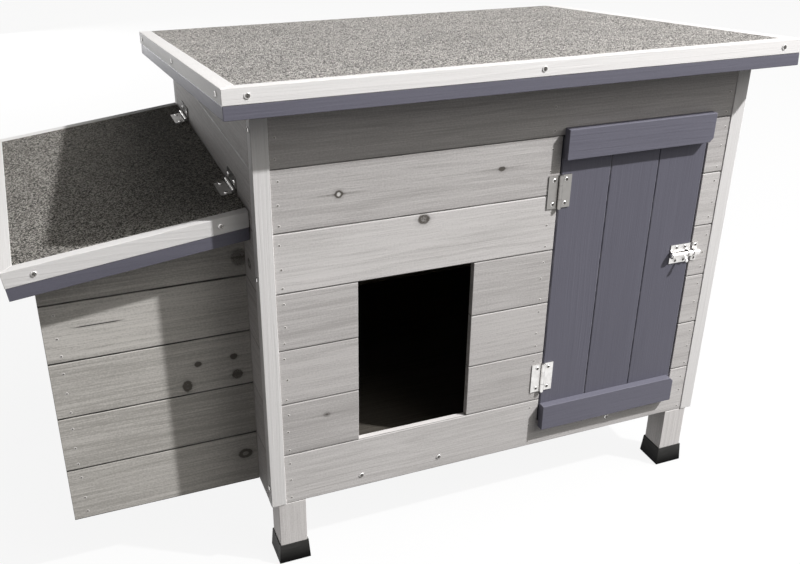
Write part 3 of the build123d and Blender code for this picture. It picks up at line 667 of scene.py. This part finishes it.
def add_nail(mesh, place, outward):
    """One brad on a wall: a low pale collar, and the dark head sunk in its middle."""
    turn = Vector((0.0, 0.0, 1.0)).rotation_difference(outward).to_matrix()
    loops = []
    for share, rise in NAIL_OUTLINE:
        radius = share * NAIL_RADIUS
        loop = []
        for step in range(NAIL_SIDES):
            angle = 2.0 * pi * step / NAIL_SIDES
            spot = Vector((cos(angle) * radius, sin(angle) * radius, rise * NAIL_PROUD))
            loop.append(mesh.verts.new(place + turn @ spot))
        loops.append(loop)
    for number, (lower, upper) in enumerate(zip(loops, loops[1:])):
        for step in range(NAIL_SIDES):
            after = (step + 1) % NAIL_SIDES
            face = mesh.faces.new((lower[step], lower[after], upper[after], upper[step]))
            face.material_index = 0 if number < NAIL_COLLAR_RINGS else 1
    mesh.faces.new(loops[-1]).material_index = 1
    mesh.faces.new(reversed(loops[0]))


def nail_columns():
    """Each upright line of nails: a point on its wall, the way the wall faces, and the boards it crosses."""
    inset = TRIM_FACE + NAIL_INSET
    toward, away = Vector((0.0, -1.0, 0.0)), Vector((0.0, 1.0, 0.0))
    leftward, rightward = Vector((-1.0, 0.0, 0.0)), Vector((1.0, 0.0, 0.0))
    for x in (LEFT_X + inset, DOOR_LEFT - 2.0 * NAIL_INSET, RIGHT_X - inset):
        yield Vector((x, FRONT_Y, 0.0)), toward, FRONT_ROWS
    for x in (LEFT_X + inset, (LEFT_X + RIGHT_X) / 2.0, RIGHT_X - inset):
        yield Vector((x, REAR_Y, 0.0)), away, SIDE_ROWS
    for y in (FRONT_Y + inset, REAR_Y - inset):
        yield Vector((LEFT_X, y, 0.0)), leftward, SIDE_ROWS
        yield Vector((RIGHT_X, y, 0.0)), rightward, SIDE_ROWS
    yield Vector((NEST_LOW.x + 2.0 * NAIL_INSET, NEST_LOW.y, 0.0)), toward, NEST_ROWS
    yield Vector((NEST_LOW.x + 2.0 * NAIL_INSET, NEST_REAR, 0.0)), away, NEST_ROWS
    for y in (NEST_LOW.y + 2.0 * NAIL_INSET, NEST_REAR - 2.0 * NAIL_INSET):
        yield Vector((NEST_LOW.x, y, 0.0)), leftward, NEST_ROWS


def add_nails():
    """Brad nails that hold the boards to the battens and legs behind them."""
    draw = random.Random(NAIL_SEED)
    mesh = bmesh.new()
    for foot, outward, rows in nail_columns():
        aside = outward.cross(Vector((0.0, 0.0, 1.0)))
        for row in range(rows):
            for share in NAIL_SHARES:
                rise = WALL_FOOT + (row + share) * BOARD_PITCH + draw.uniform(-1.0, 1.0) * NAIL_WANDER
                shift = aside * draw.uniform(-0.5, 0.5) * NAIL_WANDER
                add_nail(mesh, foot + shift + Vector((0.0, 0.0, rise)), outward)
    data = bpy.data.meshes.new("brad_nails")
    mesh.to_mesh(data)
    mesh.free()
    nails = bpy.data.objects.new("brad_nails", data)
    bpy.context.scene.collection.objects.link(nails)
    data.materials.append(nail_metal("nail_collar", NAIL_FILLER, 0.0))
    data.materials.append(nail_metal("brad_steel", NAIL_STEEL, 0.4))
    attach(nails, "house")


def shown_rays(tree):
    """1 for what is seen straight or in a mirror, and 0 for the light that falls on the object."""
    path = tree.nodes.new("ShaderNodeLightPath")
    kinds = ("Camera", "Glossy", "Transmission")
    seen, mirrored, through = (Wire(path.outputs[f"Is {kind} Ray"]) for kind in kinds)
    return seen.over(mirrored).over(through)


def add_floor():
    """A plain pale floor that keeps the shadow."""
    material, tree, shader = new_material("pale_floor", roughness=0.9, specular=0.0)
    shown = shown_rays(tree)
    colour = mixed(tree, shown, FLOOR_COLOUR, FLOOR_SHOWN)
    tree.links.new(colour.socket, shader.inputs["Base Color"])
    glow = tree.nodes.new("ShaderNodeEmission")
    blend = tree.nodes.new("ShaderNodeMixShader")
    feed(blend.inputs[0], shown * FLOOR_GLOW)
    tree.links.new(shader.outputs[0], blend.inputs[1])
    tree.links.new(glow.outputs[0], blend.inputs[2])
    tree.links.new(blend.outputs[0], tree.nodes["Material Output"].inputs["Surface"])
    mesh = bpy.data.meshes.new("floor")
    half = FLOOR_SIZE / 2.0
    corners = [(-half, -half, 0.0), (half, -half, 0.0), (half, half, 0.0), (-half, half, 0.0)]
    mesh.from_pydata(corners, [], [(0, 1, 2, 3)])
    mesh.materials.append(material)
    floor = bpy.data.objects.new("floor", mesh)
    bpy.context.scene.collection.objects.link(floor)


def add_world():
    """An even fill with a wide glow round the key, white where it is seen or mirrored."""
    world = bpy.data.worlds.new("studio")
    bpy.context.scene.world = world
    world.use_nodes = True
    tree = world.node_tree
    x, y, z = parts_of(tree, "Generated")
    to_key = Vector(TO_KEY).normalized()
    near_key = x * to_key.x + y * to_key.y + z * to_key.z
    fill = near_key.span(cos(radians(HALO_EDGE)), 1.0) * HALO_STRENGTH + FILL_STRENGTH
    shown = shown_rays(tree)
    colour = mixed(tree, shown, FILL_COLOUR, PLAIN_WHITE)
    tree.links.new(colour.socket, tree.nodes["Background"].inputs["Color"])
    feed(tree.nodes["Background"].inputs["Strength"], fill + shown * (fill * -1.0 + 1.0))


def add_lamp(name, place, aim, power, size):
    """A round soft lamp that shines at a point."""
    data = bpy.data.lights.new(name, "AREA")
    data.shape = "DISK"
    data.size = size
    data.energy = power
    lamp = bpy.data.objects.new(name, data)
    lamp.location = place
    lamp.rotation_euler = (place - aim).to_track_quat("Z", "Y").to_euler()
    lamp.visible_camera = False
    bpy.context.scene.collection.objects.link(lamp)


def add_lamps():
    """The key, in line with the front's upper left corner as the shadows show it, and two weak lamps."""
    corner = Vector((LEFT_X, FRONT_Y, WALL_TOP))
    add_lamp("key", corner + Vector(TO_KEY) * KEY_STEPS, corner, KEY_POWER, KEY_SIZE)
    back = Vector(BACK_PLACE)
    add_lamp("back", back, Vector((0.0, 0.0, back.z)), BACK_POWER, BACK_SIZE)
    end = Vector((NEST_LOW.x, (NEST_LOW.y + NEST_REAR) / 2.0, (WALL_FOOT + NEST_HIGH.z) / 2.0))
    add_lamp("end", Vector((end.x - END_STEP, end.y, END_HEIGHT)), end, END_POWER, END_SIZE)


def add_camera():
    """The photograph's point of view."""
    data = bpy.data.cameras.new("camera")
    data.lens = CAMERA_LENS
    data.sensor_width = CAMERA_SENSOR
    data.sensor_fit = "HORIZONTAL"
    camera = bpy.data.objects.new("camera", data)
    heading = Matrix.Rotation(-radians(CAMERA_YAW), 4, "Z")
    tilt = Matrix.Rotation(pi / 2.0 + radians(CAMERA_PITCH), 4, "X")
    roll = Matrix.Rotation(radians(CAMERA_ROLL), 4, "Z")
    camera.matrix_world = Matrix.Translation(CAMERA_PLACE) @ heading @ tilt @ roll
    bpy.context.scene.collection.objects.link(camera)
    bpy.context.scene.camera = camera


add_camera()
dress_walls()
dress_frame()
dress_rest()
for part in frame["record"]["subparts"]:
    if part["material_slot"] in WOODEN_SLOTS:
        soften(part["node"])
add_nails()
add_floor()
add_world()
add_lamps()
bpy.context.scene.view_settings.view_transform = "Standard"
